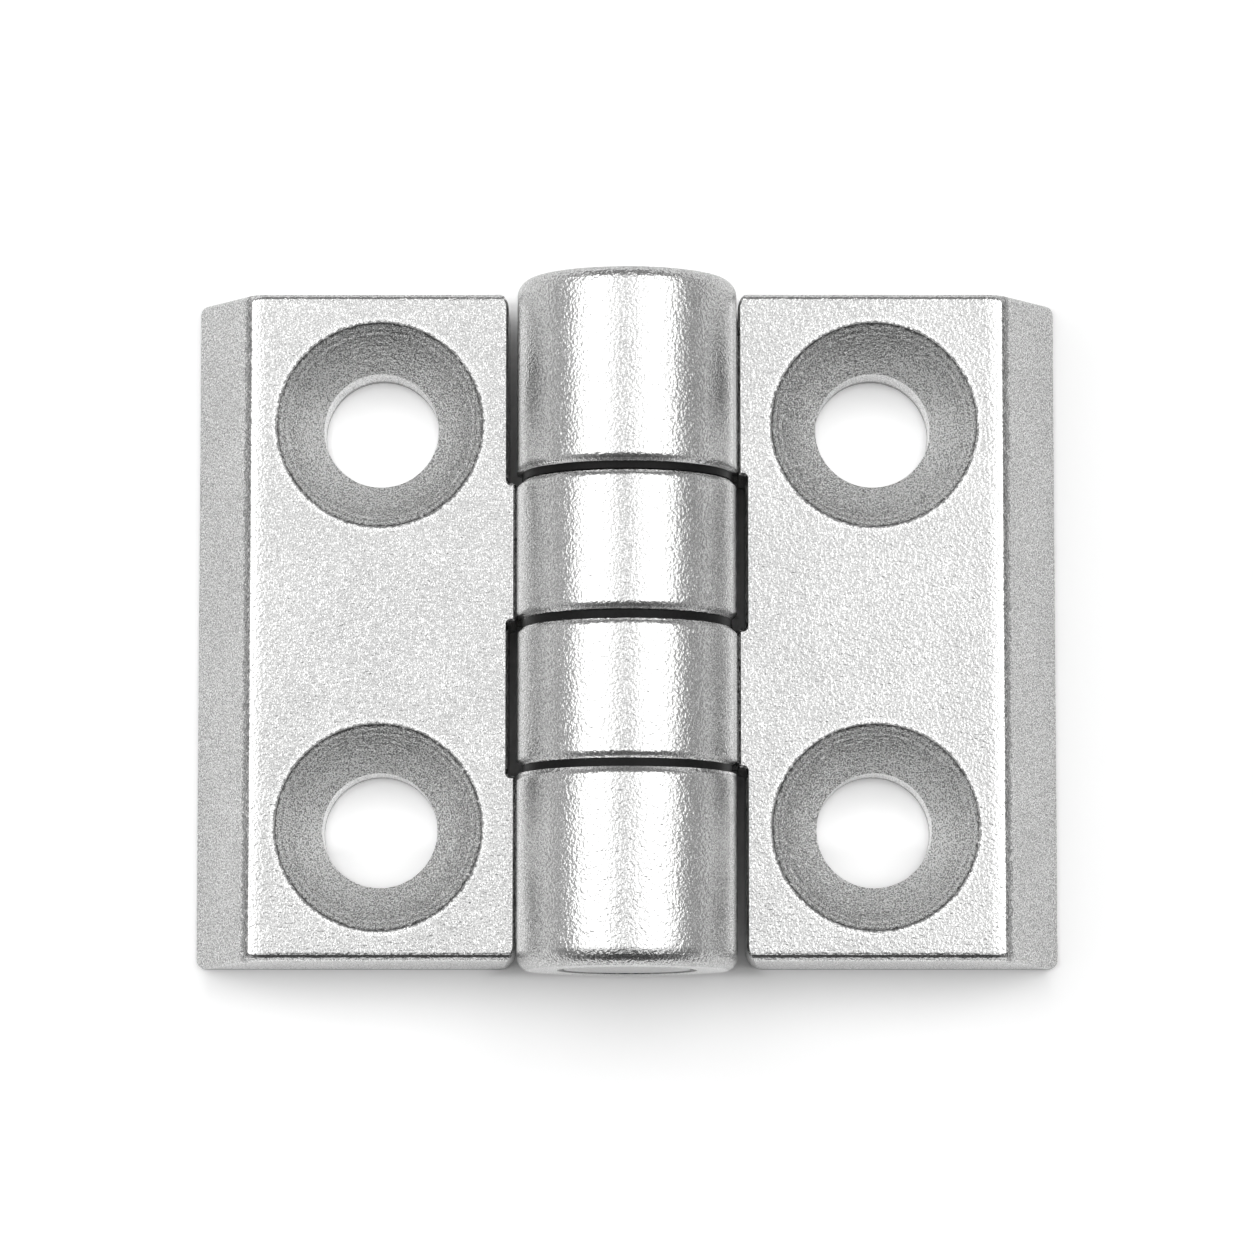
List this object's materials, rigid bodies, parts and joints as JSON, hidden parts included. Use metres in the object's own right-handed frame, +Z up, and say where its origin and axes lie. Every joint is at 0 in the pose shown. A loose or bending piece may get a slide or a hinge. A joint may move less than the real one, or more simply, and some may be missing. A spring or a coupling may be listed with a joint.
{
  "type": "butt hinge",
  "caption": "Cast metal butt hinge: bevelled leaves with countersunk screw holes turn about one pin, with thin washers between the knuckles.",
  "frame": {"origin": "on the mounting face, under the middle of the pin", "axes": "+X across the hinge towards the leaf that holds the pin, +Y along the pin, +Z up from the mounting face"},
  "size_m": [0.0526, 0.0418, 0.0133],
  "materials": {
    "leaf_metal": "bead-blasted cast stainless steel",
    "pin_steel": "turned stainless steel",
    "washer_plastic": "black moulded plastic"
  },
  "bodies": {
    "right": {"right_leaf": "leaf_metal", "hinge_pin": "pin_steel", "thrust_washer_far": "washer_plastic", "thrust_washer_middle": "washer_plastic", "thrust_washer_near": "washer_plastic"},
    "left": {"left_leaf": "leaf_metal"}
  },
  "joints": [
    {"name": "leaf_hinge", "type": "hinge", "parent": "right", "child": "left", "pos_m": [0, 0, 0.00665], "axis": [0, 1, 0], "range_deg": [-90, 180]}
  ]
}
